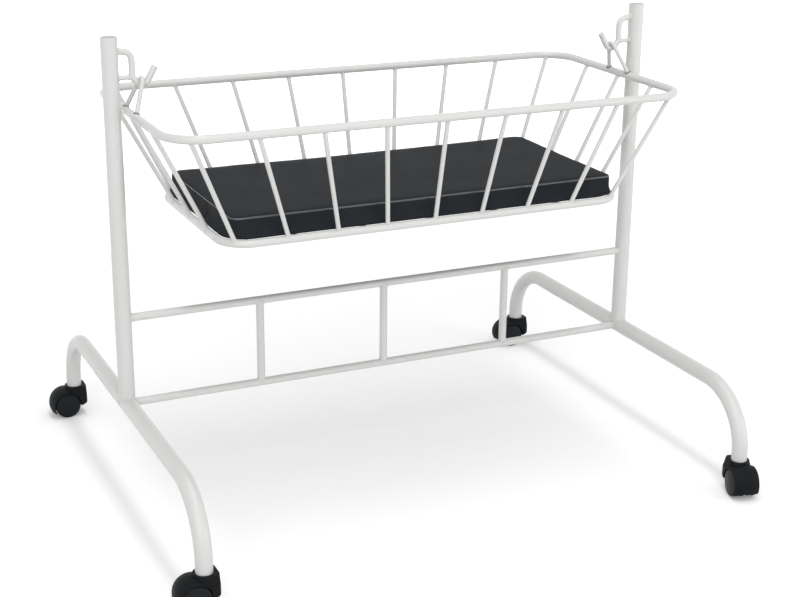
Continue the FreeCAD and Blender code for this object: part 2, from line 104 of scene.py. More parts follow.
# ---- Shader building ----
class NodeGraph:
    """A node tree with short calls to add and join nodes."""

    def __init__(self, tree: bpy.types.NodeTree) -> None:
        """Wrap the node tree of a material, a world or a group."""
        self.tree = tree

    def feed(self, node: Node, inputs: dict) -> Node:
        """Give a node its inputs.

        Args:
            node: A node of this tree.
            inputs: Socket name or index to a constant or to a socket that feeds it.

        Returns:
            The same node.
        """
        for key, value in inputs.items():
            if isinstance(value, Socket):
                self.tree.links.new(value, node.inputs[key])
            else:
                node.inputs[key].default_value = value
        return node

    def add(self, kind: str, inputs: dict | None = None, **settings: object) -> Node:
        """Add a node.

        Args:
            kind: Node type without its "ShaderNode" prefix.
            inputs: Socket name or index to a constant or to a socket that feeds it.
            **settings: Attributes of the node itself.

        Returns:
            The new node.
        """
        node = self.tree.nodes.new("ShaderNode" + kind)
        for name, value in settings.items():
            setattr(node, name, value)
        return self.feed(node, inputs or {})

    def place(self) -> Socket:
        """Coordinates in metres that stay with the object."""
        return self.add("TexCoord").outputs["Object"]

    def math(self, operation: str, *values: object) -> Socket:
        """Result of a math node on constants or sockets."""
        return self.add("Math", dict(enumerate(values)), operation=operation).outputs[0]

    def noise(self, vector: Socket, scale: object, detail: float) -> Socket:
        """Noise from 0 to 1, with its scale in features per metre and its detail in octaves."""
        inputs = {"Vector": vector, "Scale": scale, "Detail": detail}
        return self.add("TexNoise", inputs).outputs["Fac"]

    def ramp(self, value: Socket, low: float, high: float) -> Socket:
        """Stretch a value so that low becomes 0 and high becomes 1, and clamp it."""
        inputs = {"Value": value, "From Min": low, "From Max": high}
        return self.add("MapRange", inputs, clamp=True).outputs["Result"]

    def blend(self, factor: object, first: object, second: object) -> Socket:
        """Mix two colours: a factor of 0 gives the first and 1 the second."""
        mix = self.add("Mix", {0: factor, 6: first, 7: second}, data_type="RGBA")
        return mix.outputs[2]

    def vary(self, level: Socket, value: Socket, amount: float) -> Socket:
        """Raise or lower a level by an amount times how far a value is from one half."""
        change = self.math("MULTIPLY", self.math("SUBTRACT", value, 0.5), amount)
        return self.math("ADD", level, change)


def sprayed_coat(graph: NodeGraph, given: Sockets) -> Sockets:
    """Sprayed enamel: a faint orange peel, slow changes of tone and a little dust.

    Args:
        graph: The group's graph.
        given: Input sockets by name.

    Returns:
        Output sockets by name.
    """
    drift_share, speck_share, speck_height, gloss_change = 0.5, 0.12, 0.4, 0.14
    where = graph.place()
    ripple = graph.noise(where, scale=given["Peel Scale"], detail=1.0)
    drift = graph.noise(where, scale=7.0, detail=3.0)
    speck = graph.ramp(graph.noise(where, scale=900.0, detail=0.0), low=0.72, high=0.80)
    colour = given["Color"]
    for mask, share in ((drift, drift_share), (speck, speck_share)):
        colour = graph.blend(graph.math("MULTIPLY", mask, share), colour, given["Second Color"])
    height = graph.math("ADD", ripple, graph.math("MULTIPLY", speck, speck_height))
    return {"Color": colour, "Roughness": graph.vary(given["Roughness"], drift, gloss_change),
            "Height": height}


def settled_dust(graph: NodeGraph, given: Sockets) -> Sockets:
    """Dust that lies on what faces up, thicker in patches.

    Args:
        graph: The group's graph.
        given: Input sockets by name.

    Returns:
        Output sockets by name.
    """
    normal = graph.add("NewGeometry").outputs["Normal"]
    up = graph.add("SeparateXYZ", {0: normal}).outputs["Z"]
    patches = graph.ramp(graph.noise(graph.place(), scale=35.0, detail=4.0), low=0.35, high=0.7)
    mask = graph.math("MULTIPLY", graph.ramp(up, low=0.3, high=1.0), patches)
    return {"Mask": graph.math("MULTIPLY", mask, given["Amount"])}


def vinyl_grain(graph: NodeGraph, given: Sockets) -> Sockets:
    """Embossed vinyl grain: small cells whose softened valleys get painted shade, and slow
    changes of tone.

    Args:
        graph: The group's graph.
        given: Input sockets by name.

    Returns:
        Output sockets by name.
    """
    bend, valley_width, valley_shade_share, fine_height, gloss_change = 0.004, 0.12, 0.35, 0.25, 0.25
    where = graph.place()
    warp = graph.add("TexNoise", {"Vector": where, "Scale": 60.0}).outputs["Color"]
    bent = graph.add("Mix", {0: bend, 4: where, 5: warp}, data_type="VECTOR").outputs[1]
    cells = graph.add("TexVoronoi", {"Vector": bent, "Scale": given["Grain Scale"]},
                      feature="DISTANCE_TO_EDGE").outputs["Distance"]
    valley = graph.ramp(cells, low=0.0, high=valley_width)
    cloud = graph.noise(where, scale=12.0, detail=4.0)
    fine = graph.noise(where, scale=2200.0, detail=1.0)
    worn = graph.ramp(cloud, low=0.3, high=0.75)
    toned = graph.blend(worn, given["Color"], given["Second Color"])
    # Painted shade: the grain's valleys are darkened towards the valley colour.
    shade = graph.math("MULTIPLY", graph.math("SUBTRACT", 1.0, valley), valley_shade_share)
    height = graph.math("ADD", valley, graph.math("MULTIPLY", fine, fine_height))
    return {"Color": graph.blend(shade, toned, given["Valley Color"]),
            "Roughness": graph.vary(given["Roughness"], cloud, gloss_change), "Height": height}


def moulded_plastic(graph: NodeGraph, given: Sockets) -> Sockets:
    """Moulded plastic: a fine spark-eroded texture, cloudy gloss and a few pale scuffs.

    Args:
        graph: The group's graph.
        given: Input sockets by name.

    Returns:
        Output sockets by name.
    """
    gloss_change, scuff_dulling = 0.2, 0.3
    where = graph.place()
    fine = graph.noise(where, scale=1600.0, detail=2.0)
    cloud = graph.noise(where, scale=30.0, detail=3.0)
    drawn = graph.add("Mapping", {"Vector": where, "Scale": (1.0, 1.0, 7.0)}).outputs[0]
    streak = graph.noise(drawn, scale=90.0, detail=5.0)
    scuff = graph.math("MULTIPLY", graph.ramp(streak, low=0.62, high=0.78), given["Scuffs"])
    dulled = graph.math("ADD", given["Roughness"], graph.math("MULTIPLY", scuff, scuff_dulling))
    return {"Color": graph.blend(scuff, given["Color"], given["Second Color"]),
            "Roughness": graph.vary(dulled, cloud, gloss_change), "Height": fine}


def plated_metal(graph: NodeGraph, given: Sockets) -> Sockets:
    """Turned or plated metal: fine rings along the axis and dull patches.

    Args:
        graph: The group's graph.
        given: Input sockets by name.

    Returns:
        Output sockets by name.
    """
    dull_share, dulling = 0.4, 0.2
    where = graph.place()
    turned = graph.add("Mapping", {"Vector": where, "Scale": (1.0, 1.0, 60.0)}).outputs[0]
    dull = graph.ramp(graph.noise(where, scale=120.0, detail=4.0), low=0.4, high=0.7)
    mask = graph.math("MULTIPLY", dull, dull_share)
    return {"Color": graph.blend(mask, given["Color"], given["Second Color"]),
            "Roughness": graph.math("ADD", given["Roughness"],
                                    graph.math("MULTIPLY", dull, dulling)),
            "Height": graph.noise(turned, scale=60.0, detail=2.0)}


Effect = Callable[[NodeGraph, Sockets], Sockets]


def socket_kind(label: str) -> str:
    """Type of a group's socket: a colour if its name ends in "Color", or else a float."""
    return "NodeSocketColor" if label.endswith("Color") else "NodeSocketFloat"


def effect_group(effect: Effect, labels: Iterable[str]) -> bpy.types.NodeTree:
    """Make an effect's node group.

    Args:
        effect: Adds the nodes. Takes the graph and input sockets, returns the output sockets.
        labels: Names of the group's inputs.

    Returns:
        The group, which has the effect's name.
    """
    tree = bpy.data.node_groups.new(effect.__name__, "ShaderNodeTree")
    for label in labels:
        tree.interface.new_socket(label, in_out="INPUT", socket_type=socket_kind(label))
    source = tree.nodes.new("NodeGroupInput")
    graph = NodeGraph(tree)
    outputs = effect(graph, {s.name: s for s in source.outputs if s.name})
    for label in outputs:
        tree.interface.new_socket(label, in_out="OUTPUT", socket_type=socket_kind(label))
    graph.feed(tree.nodes.new("NodeGroupOutput"), outputs)
    return tree


@dataclass(frozen=True)
class Finish:
    """What every finish has: two colours, a gloss and the height of its fine relief."""

    effect: ClassVar[Effect]
    name: str
    colour: Rgb
    second: Rgb
    roughness: float
    relief: float
    metallic: float = 0.0
    coat: float = 0.0
    coat_roughness: float = 0.18
    specular: float = 0.5
    dust: float = 0.0
    dust_colour: Rgb = (0.45, 0.44, 0.42)

    def own_inputs(self) -> dict:
        """The effect's inputs that only this kind of finish has."""
        return {}

    def build(self) -> bpy.types.Material:
        """Make the material.

        Returns:
            The material.
        """
        material = bpy.data.materials.new(self.name)
        material.use_nodes = True
        graph = NodeGraph(material.node_tree)
        look = Wardrobe.effect(graph, self.effect, {
            "Color": (*self.colour, 1.0), "Second Color": (*self.second, 1.0),
            "Roughness": self.roughness, **self.own_inputs()}).outputs
        colour = look["Color"]
        if self.dust > 0:
            mask = Wardrobe.effect(graph, settled_dust, {"Amount": self.dust}).outputs["Mask"]
            colour = graph.blend(mask, colour, (*self.dust_colour, 1.0))
        bump = graph.add("Bump", {"Height": look["Height"], "Distance": self.relief,
                                  "Strength": 1.0})
        graph.feed(graph.tree.nodes["Principled BSDF"], {
            "Base Color": colour, "Roughness": look["Roughness"],
            "Normal": bump.outputs["Normal"], "Metallic": self.metallic,
            "Coat Weight": self.coat, "Coat Roughness": self.coat_roughness,
            "Specular IOR Level": self.specular})
        material.diffuse_color = (*self.colour, 1.0)
        return material


@dataclass(frozen=True)
class EnamelFinish(Finish):
    """Sprayed and baked enamel on steel."""

    effect = staticmethod(sprayed_coat)
    peel_scale: float = 260.0

    def own_inputs(self) -> dict:
        """Scale of the orange peel."""
        return {"Peel Scale": self.peel_scale}


@dataclass(frozen=True)
class VinylFinish(Finish):
    """Embossed vinyl sheet."""

    effect = staticmethod(vinyl_grain)
    grain_scale: float = 700.0
    # Colour of the painted shade in the grain's valleys.
    valley: Rgb = (0.006, 0.007, 0.009)

    def own_inputs(self) -> dict:
        """Scale of the grain and the painted shade colour of its valleys."""
        return {"Grain Scale": self.grain_scale, "Valley Color": (*self.valley, 1.0)}


@dataclass(frozen=True)
class MouldedFinish(Finish):
    """Moulded nylon or plastic."""

    effect = staticmethod(moulded_plastic)
    scuffs: float = 0.3

    def own_inputs(self) -> dict:
        """Strength of the scuffs."""
        return {"Scuffs": self.scuffs}


@dataclass(frozen=True)
class PlatedFinish(Finish):
    """Zinc-plated steel."""

    effect = staticmethod(plated_metal)


ENAMEL = EnamelFinish("white_enamel", (0.65, 0.65, 0.64), (0.57, 0.57, 0.55), 0.34, 0.00002,
                      coat=0.25, dust=0.04)
# Upright caps: a darker grey that is partly the plugs' own tone and partly painted shade, with
# the flat tube tops darker than the lit sides.
CAP_GREY_AND_PAINTED_SHADE = EnamelFinish("cap_enamel", (0.46, 0.46, 0.45), (0.38, 0.38, 0.37), 0.45, 0.00003)
VINYL = VinylFinish("black_vinyl", (0.018, 0.021, 0.0245), (0.024, 0.027, 0.0305), 0.5, 0.00006,
                    specular=0.018)
WELT_VINYL = VinylFinish("welt_vinyl", (0.010, 0.013, 0.016), (0.026, 0.029, 0.032), 0.24,
                         0.00003, specular=0.8, coat=0.4, grain_scale=900.0)
HOOD_NYLON = MouldedFinish("hood_nylon", (0.008, 0.009, 0.010), (0.035, 0.035, 0.035), 0.5,
                           0.00003, specular=0.07, dust=0.004, scuffs=0.10)
WHEEL_NYLON = MouldedFinish("wheel_nylon", (0.009, 0.011, 0.014), (0.045, 0.045, 0.045), 0.42,
                            0.00003, specular=0.12, dust=0.008, scuffs=0.15)
BARE_WELD = EnamelFinish("bare_weld", (0.16, 0.16, 0.155), (0.07, 0.07, 0.065), 0.5, 0.00005,
                         peel_scale=900.0)
ZINC = PlatedFinish("zinc_steel", (0.55, 0.55, 0.53), (0.38, 0.38, 0.36), 0.32, 0.00001,
                    metallic=1.0)


class Wardrobe:
    """Builds each effect and each finish once, and hands them out."""

    groups: dict[str, bpy.types.NodeTree] = {}
    made: dict[str, bpy.types.Material] = {}

    @classmethod
    def effect(cls, graph: NodeGraph, effect: Effect, inputs: dict) -> Node:
        """Add an effect to a material.

        Args:
            graph: The material's graph.
            effect: The effect.
            inputs: Every input of its group by name.

        Returns:
            The group's node.
        """
        name = effect.__name__
        if name not in cls.groups:
            cls.groups[name] = effect_group(effect, inputs)
        return graph.feed(graph.add("Group", node_tree=cls.groups[name]), inputs)

    @classmethod
    def dress(cls, obj: Piece, finish: Finish) -> None:
        """Give an object one finish all over.

        Args:
            obj: A scene piece or a CAD node.
            finish: Its finish.
        """
        if finish.name not in cls.made:
            cls.made[finish.name] = finish.build()
        obj.data.materials.clear()
        obj.data.materials.append(cls.made[finish.name])


# ---- Meshes ----
def link_mesh(name: str, mesh: bpy.types.Mesh) -> Piece:
    """Put a mesh in the scene as a smooth-shaded object.

    Args:
        name: The object's name.
        mesh: Its mesh.

    Returns:
        The object.
    """
    obj = bpy.data.objects.new(name, mesh)
    bpy.context.scene.collection.objects.link(obj)
    mesh.polygons.foreach_set("use_smooth", [True] * len(mesh.polygons))
    return obj


def finished(name: str, build: bmesh.types.BMesh) -> Piece:
    """Make an object of a mesh that is ready, with its faces turned outwards.

    Args:
        name: The object's name.
        build: The mesh, which is freed.

    Returns:
        The object.
    """
    bmesh.ops.recalc_face_normals(build, faces=build.faces[:])
    mesh = bpy.data.meshes.new(name)
    build.to_mesh(mesh)
    build.free()
    return link_mesh(name, mesh)


def ring_round(centre: Vector, first: Vector, second: Vector, radius: float,
               count: int) -> list[Vector]:
    """Points of a circle, from a first unit vector towards a second one square to it."""
    turns = [2 * math.pi * k / count for k in range(count)]
    return [centre + (first * math.cos(t) + second * math.sin(t)) * radius for t in turns]


def tangent(line: Sequence[Vector], index: int) -> Vector:
    """Direction of a closed line at one of its points."""
    return (line[(index + 1) % len(line)] - line[index - 1]).normalized()


def tubes(name: str, parts: Iterable[Sequence[Sequence[Vector]]]) -> Piece:
    """Object of closed tubes, whose last ring joins the first.

    Args:
        name: The object's name.
        parts: For each tube, its rings, all with the same number of points.

    Returns:
        The object.
    """
    build = bmesh.new()
    for rings in parts:
        loops = [[build.verts.new(p) for p in ring] for ring in rings]
        for a, b in zip(loops, loops[1:] + loops[:1]):
            for i in range(len(a)):
                j = (i + 1) % len(a)
                build.faces.new((a[i], a[j], b[j], b[i]))
    return finished(name, build)


# ---- Weld beads ----
@dataclass(frozen=True)
class Bar:
    """Straight round bar."""

    start: Vector
    end: Vector
    radius: float

    @property
    def along(self) -> Vector:
        """Unit vector from start to end."""
        return (self.end - self.start).normalized()

    @property
    def middle(self) -> Vector:
        """Point half-way along the axis."""
        return (self.start + self.end) / 2

    def off_axis(self, point: Vector) -> Vector:
        """Shortest vector from the axis to a point."""
        offset = point - self.start
        return offset - self.along * offset.dot(self.along)


@dataclass(frozen=True)
class Joint:
    """A branch bar whose end meets the side of a run bar."""

    branch: Bar
    run: Bar
    bead: float


class WeldBeads:
    """Weld beads round a body's joints, as one piece."""

    AROUND = 44
    SECTION = 8
    RIPPLES = (11, 15)
    RIPPLE_HEIGHT = 0.07
    LEAN_HEIGHT = 0.10
    SWELL = (0.9, 1.12)

    def __init__(self, name: str, seed: int) -> None:
        """Keep the piece's name, and a seed for the beads' small differences."""
        self.name = name
        self.random = random.Random(seed)

    def seam(self, joint: Joint) -> list[Vector]:
        """Points where the branch's surface meets the run's.

        Args:
            joint: The joint.

        Returns:
            Points round the branch.
        """
        branch, run = joint.branch, joint.run
        ahead = branch.along
        across = ahead.orthogonal().normalized()
        flat_ahead = ahead - run.along * ahead.dot(run.along)
        a = flat_ahead.length_squared
        points = []
        for start in ring_round(branch.start, across, ahead.cross(across), branch.radius,
                                self.AROUND):
            flat_offset = run.off_axis(start)
            b = flat_offset.dot(flat_ahead)
            c = flat_offset.length_squared - run.radius ** 2
            root = math.sqrt(max(b * b - a * c, 0.0))
            points.append(start + ahead * ((-b - root) / a))
        return points

    def bead(self, joint: Joint) -> list[list[Vector]]:
        """Rings of one bead, rippled as a hand weld is.

        Args:
            joint: The joint.

        Returns:
            Rings of points along the seam.
        """
        seam = self.seam(joint)
        ripple = self.random.randint(*self.RIPPLES)
        phase = self.random.uniform(0, 2 * math.pi)
        swell = self.random.uniform(*self.SWELL)
        rings = []
        for i, point in enumerate(seam):
            out = (joint.branch.off_axis(point).normalized()
                   + joint.run.off_axis(point).normalized()).normalized()
            beside = tangent(seam, i).cross(out).normalized()
            turn = 2 * math.pi * i / len(seam)
            size = joint.bead * swell * (1 + self.RIPPLE_HEIGHT * math.sin(ripple * turn + phase)
                                         + self.LEAN_HEIGHT * math.sin(2 * turn + phase))
            rings.append(ring_round(point, out, beside, size, self.SECTION))
        return rings

    def build(self, joints: Sequence[Joint], body: Body, finish: Finish = ENAMEL) -> None:
        """Make the beads and set them on their body.

        Args:
            joints: The welded joints.
            body: Body that they ride on.
            finish: Their finish.
        """
        obj = tubes(self.name, [self.bead(joint) for joint in joints])
        Wardrobe.dress(obj, finish)
        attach(obj, body.value)
        LOG.info("%s: %d beads", self.name, len(joints))


def bar_along(node: str, axis: int) -> Bar:
    """Bar that fills a CAD node's box along one axis.

    Args:
        node: The node's name.
        axis: 0, 1 or 2 for X, Y or Z.

    Returns:
        The bar.
    """
    low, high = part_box(node)
    start = (low + high) / 2
    end = start.copy()
    start[axis], end[axis] = low[axis], high[axis]
    across = (axis + 1) % 3
    return Bar(start, end, (high[across] - low[across]) / 2)


# ---- Stand ----
@dataclass(frozen=True)
class Stand:
    """Welded stand with its hooks, and the sizes that its nodes' boxes don't give."""

    RAILS = ("upper_rail", "lower_rail")
    POSTS = ("rail_post_left", "rail_post_middle", "rail_post_right")
    SIDE_PIECES = ("upright", "base_tube", "hook", "hook_brace")

    hook_rod_r: float = 0.005
    arm_drop: float = 0.020
    arm_slope: float = 0.004
    arm_reach: float = 0.0325
    frame_bead: float = 0.0017
    rail_bead: float = 0.0013
    hook_bead: float = 0.0014
    brace_bead: float = 0.00112

    @staticmethod
    def base(side: Side) -> Bar:
        """Straight middle of a base tube as a bar.

        Args:
            side: Which base tube.

        Returns:
            The bar.
        """
        low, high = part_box(f"base_tube_{side.label}")
        radius = (high.x - low.x) / 2
        centre = Vector(((low.x + high.x) / 2, 0, high.z - radius))
        reach = Y_AXIS * (high.y / 2)
        return Bar(centre - reach, centre + reach, radius)

    def side_joints(self, side: Side, upper: Bar, lower: Bar) -> list[Joint]:
        """Welded joints at one upright.

        Args:
            side: Which upright.
            upper: The upper rail.
            lower: The lower rail.

        Returns:
            The joints.
        """
        upright = bar_along(f"upright_{side.label}", 2)
        base = self.base(side)
        brace = bar_along(f"hook_brace_{side.label}", 0)
        x = upright.start.x
        arm_z = upright.end.z - self.arm_drop
        bend = Vector((x - side.value * self.arm_reach, 0, arm_z - self.arm_slope))
        drop = Bar(Vector((bend.x, 0, brace.middle.z)), bend, self.hook_rod_r)
        found = [Joint(Bar(upright.end, upright.start, upright.radius), base, self.frame_bead)]
        for start, z, radius, run, bead in (
                (upper.middle, upper.middle.z, upper.radius, upright, self.rail_bead),
                (lower.middle, lower.middle.z, lower.radius, base, self.rail_bead),
                (bend, arm_z, self.hook_rod_r, upright, self.hook_bead),
                (brace.middle, brace.middle.z, brace.radius, upright, self.hook_bead)):
            found.append(Joint(Bar(start, Vector((x, 0, z)), radius), run, bead))
        found.append(Joint(Bar(brace.middle, drop.start, brace.radius), drop, self.brace_bead))
        return found

    def joints(self) -> list[Joint]:
        """Every welded joint of the stand.

        Returns:
            The joints.
        """
        rails = [bar_along(name, 0) for name in self.RAILS]
        found = [joint for side in Side for joint in self.side_joints(side, *rails)]
        for name in self.POSTS:
            post = bar_along(name, 2)
            for rail in rails:
                end = Vector((post.middle.x, 0, rail.middle.z))
                branch = Bar(post.middle, end, post.radius)
                found.append(Joint(branch, rail, self.rail_bead))
        return found

    def dress(self) -> None:
        """Enamel the nodes and add the weld beads."""
        names = [f"{piece}_{side.label}" for side in Side for piece in self.SIDE_PIECES]
        names += self.RAILS + self.POSTS
        for name in names:
            Wardrobe.dress(frame["nodes"][name], ENAMEL)
        for side in Side:
            # The caps' darker grey holds painted shade for the tube tops.
            Wardrobe.dress(frame["nodes"][f"upright_cap_{side.label}"], CAP_GREY_AND_PAINTED_SHADE)
        WeldBeads("stand_welds", 11).build(self.joints(), Body.STAND)
        LOG.info("stand: %d nodes", len(names) + len(Side))


# ---- Basket ----
@dataclass(frozen=True)
class Hoop:
    """Rounded rectangle of tube, level and centred on the Z axis."""

    TANGENT_REACH: ClassVar[float] = 0.01

    half_length: float
    half_width: float
    height: float
    radius: float
    corner_r: float

    @staticmethod
    def of_node(node: str, corner_r: float) -> "Hoop":
        """Hoop that a CAD node's box gives.

        Args:
            node: The node's name.
            corner_r: Centreline radius of its corners.

        Returns:
            The hoop.
        """
        low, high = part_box(node)
        radius = (high.z - low.z) / 2
        return Hoop(high.x - radius, high.y - radius, (low.z + high.z) / 2, radius, corner_r)

    def on_side(self, x: float, face: Face) -> Vector:
        """Point on a long bar or its corner bend.

        Args:
            x: Place along the basket.
            face: Front or back bar.

        Returns:
            The point.
        """
        past = max(0.0, abs(x) - (self.half_length - self.corner_r))
        inset = self.corner_r - math.sqrt(self.corner_r ** 2 - past ** 2)
        return Vector((x, face.value * (self.half_width - inset), self.height))

    def past_bend(self, point: Vector) -> tuple[float, float]:
        """How far a point lies beyond the straight bars' ends, along X and along Y."""
        return (abs(point.x) - (self.half_length - self.corner_r),
                abs(point.y) - (self.half_width - self.corner_r))

    def nearest(self, point: Vector) -> Vector:
        """Point of the centreline nearest to a point.

        Args:
            point: Any point.

        Returns:
            The nearest point.
        """
        past = self.past_bend(point)
        if min(past) > 0:
            out = Vector(past).normalized() * self.corner_r
            x = self.half_length - self.corner_r + out.x
            y = self.half_width - self.corner_r + out.y
        elif self.half_length - abs(point.x) < self.half_width - abs(point.y):
            x, y = self.half_length, abs(point.y)
        else:
            x, y = abs(point.x), self.half_width
        return Vector((math.copysign(x, point.x), math.copysign(y, point.y), self.height))

    def bar_at(self, point: Vector) -> Bar:
        """The hoop's tube near a point, as a straight bar along its tangent.

        Args:
            point: Point on the centreline.

        Returns:
            The bar.
        """
        x, y = (max(0.0, past) * math.copysign(1, at)
                for past, at in zip(self.past_bend(point), point))
        reach = Z_AXIS.cross(Vector((x, y, 0)).normalized()) * self.TANGENT_REACH
        return Bar(point - reach, point + reach, self.radius)


@dataclass
class Basket:
    """Wire basket with its hanging loops, and the sizes that its nodes' boxes don't give."""

    NODES = ("basket_rim", "basket_bottom_ring", "front_slats", "back_slats", "left_end_slats",
             "right_end_slats", "basket_cross_rods", "hanging_loop_left", "hanging_loop_right")

    rim_corner_r: float = 0.055
    ring_corner_r: float = 0.045
    slat_r: float = 0.0035
    side_slats: int = 9
    end_slats: int = 3
    inset_high: float = 0.029
    inset_low: float = 0.0175
    cross_rods: int = 5
    loop_rod_r: float = 0.0035
    loop_spread: float = 0.062
    loop_leg_share: float = 0.6
    bead: float = 0.0011
    loop_bead: float = 0.0014

    def __post_init__(self) -> None:
        """Read the hoops from the frame."""
        self.rim = Hoop.of_node("basket_rim", self.rim_corner_r)
        self.ring = Hoop.of_node("basket_bottom_ring", self.ring_corner_r)
        self.slats = self.slat_ends()

    def slat_ends(self) -> list[tuple[Vector, Vector]]:
        """Both ends of every slat, on the hoops' centrelines.

        Returns:
            Pairs of low and high point.
        """
        ends = []
        for face in Face:
            for index in range(self.side_slats):
                share = 2 * index / (self.side_slats - 1) - 1
                low = self.ring.on_side(share * (self.ring.half_length - self.inset_low), face)
                high = self.rim.on_side(share * (self.rim.half_length - self.inset_high), face)
                ends.append((low, high))
        for side in Side:
            for index in range(self.end_slats):
                share = 2 * (index + 1) / (self.end_slats + 1) - 1
                ends.append(tuple(Vector((side.value * hoop.half_length, share * hoop.half_width,
                                          hoop.height)) for hoop in (self.ring, self.rim)))
        return ends

    def pushed_clear(self, point: Vector, gap: float) -> Vector:
        """Move a point out of the bottom ring and the slats.

        Args:
            point: Any point near the ring.
            gap: Distance to leave to the wires.

        Returns:
            The point, moved where it was closer than the gap.
        """
        wires = [(self.ring.radius, self.ring.nearest(point))]
        wires += [(self.slat_r, intersect_point_line(point, low, high)[0])
                  for low, high in self.slats]
        for radius, place in wires:
            away = point - place
            if away.length < radius + gap:
                point = place + away.normalized() * (radius + gap)
        return point

    def joints(self) -> list[Joint]:
        """Every welded joint of the basket.

        Returns:
            The joints.
        """
        found = []
        for low, high in self.slats:
            for hoop, end in ((self.ring, low), (self.rim, high)):
                branch = Bar((low + high) / 2, end, self.slat_r)
                found.append(Joint(branch, hoop.bar_at(end), self.bead))
        for index in range(self.cross_rods):
            x = self.ring.half_length * (2 * (index + 1) / (self.cross_rods + 1) - 1)
            for face in Face:
                end = self.ring.on_side(x, face)
                branch = Bar(Vector((x, 0, end.z)), end, self.slat_r)
                found.append(Joint(branch, self.ring.bar_at(end), self.bead))
        return found

    def loop_joints(self, side: Side) -> list[Joint]:
        """Joints of one hanging loop's feet.

        Args:
            side: Which loop.

        Returns:
            The two joints.
        """
        low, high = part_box(f"hanging_loop_{side.label}")
        rod_r = self.loop_rod_r
        apex_x = low.x + rod_r if side is Side.RIGHT else high.x - rod_r
        found = []
        for face in Face:
            foot = Vector((side.value * self.rim.half_length,
                           face.value * self.loop_spread / 2, self.rim.height))
            knee = Vector((apex_x, face.value * rod_r * 2, high.z))
            branch = Bar(foot.lerp(knee, self.loop_leg_share), foot, rod_r)
            found.append(Joint(branch, self.rim.bar_at(foot), self.loop_bead))
        return found

    def dress(self) -> None:
        """Enamel the nodes and add the weld beads."""
        for name in self.NODES:
            Wardrobe.dress(frame["nodes"][name], ENAMEL)
        WeldBeads("basket_welds", 23).build(self.joints(), Body.BASKET)
        feet = [joint for side in Side for joint in self.loop_joints(side)]
        WeldBeads("loop_welds", 31).build(feet, Body.BASKET, BARE_WELD)
        LOG.info("basket: %d nodes", len(self.NODES))


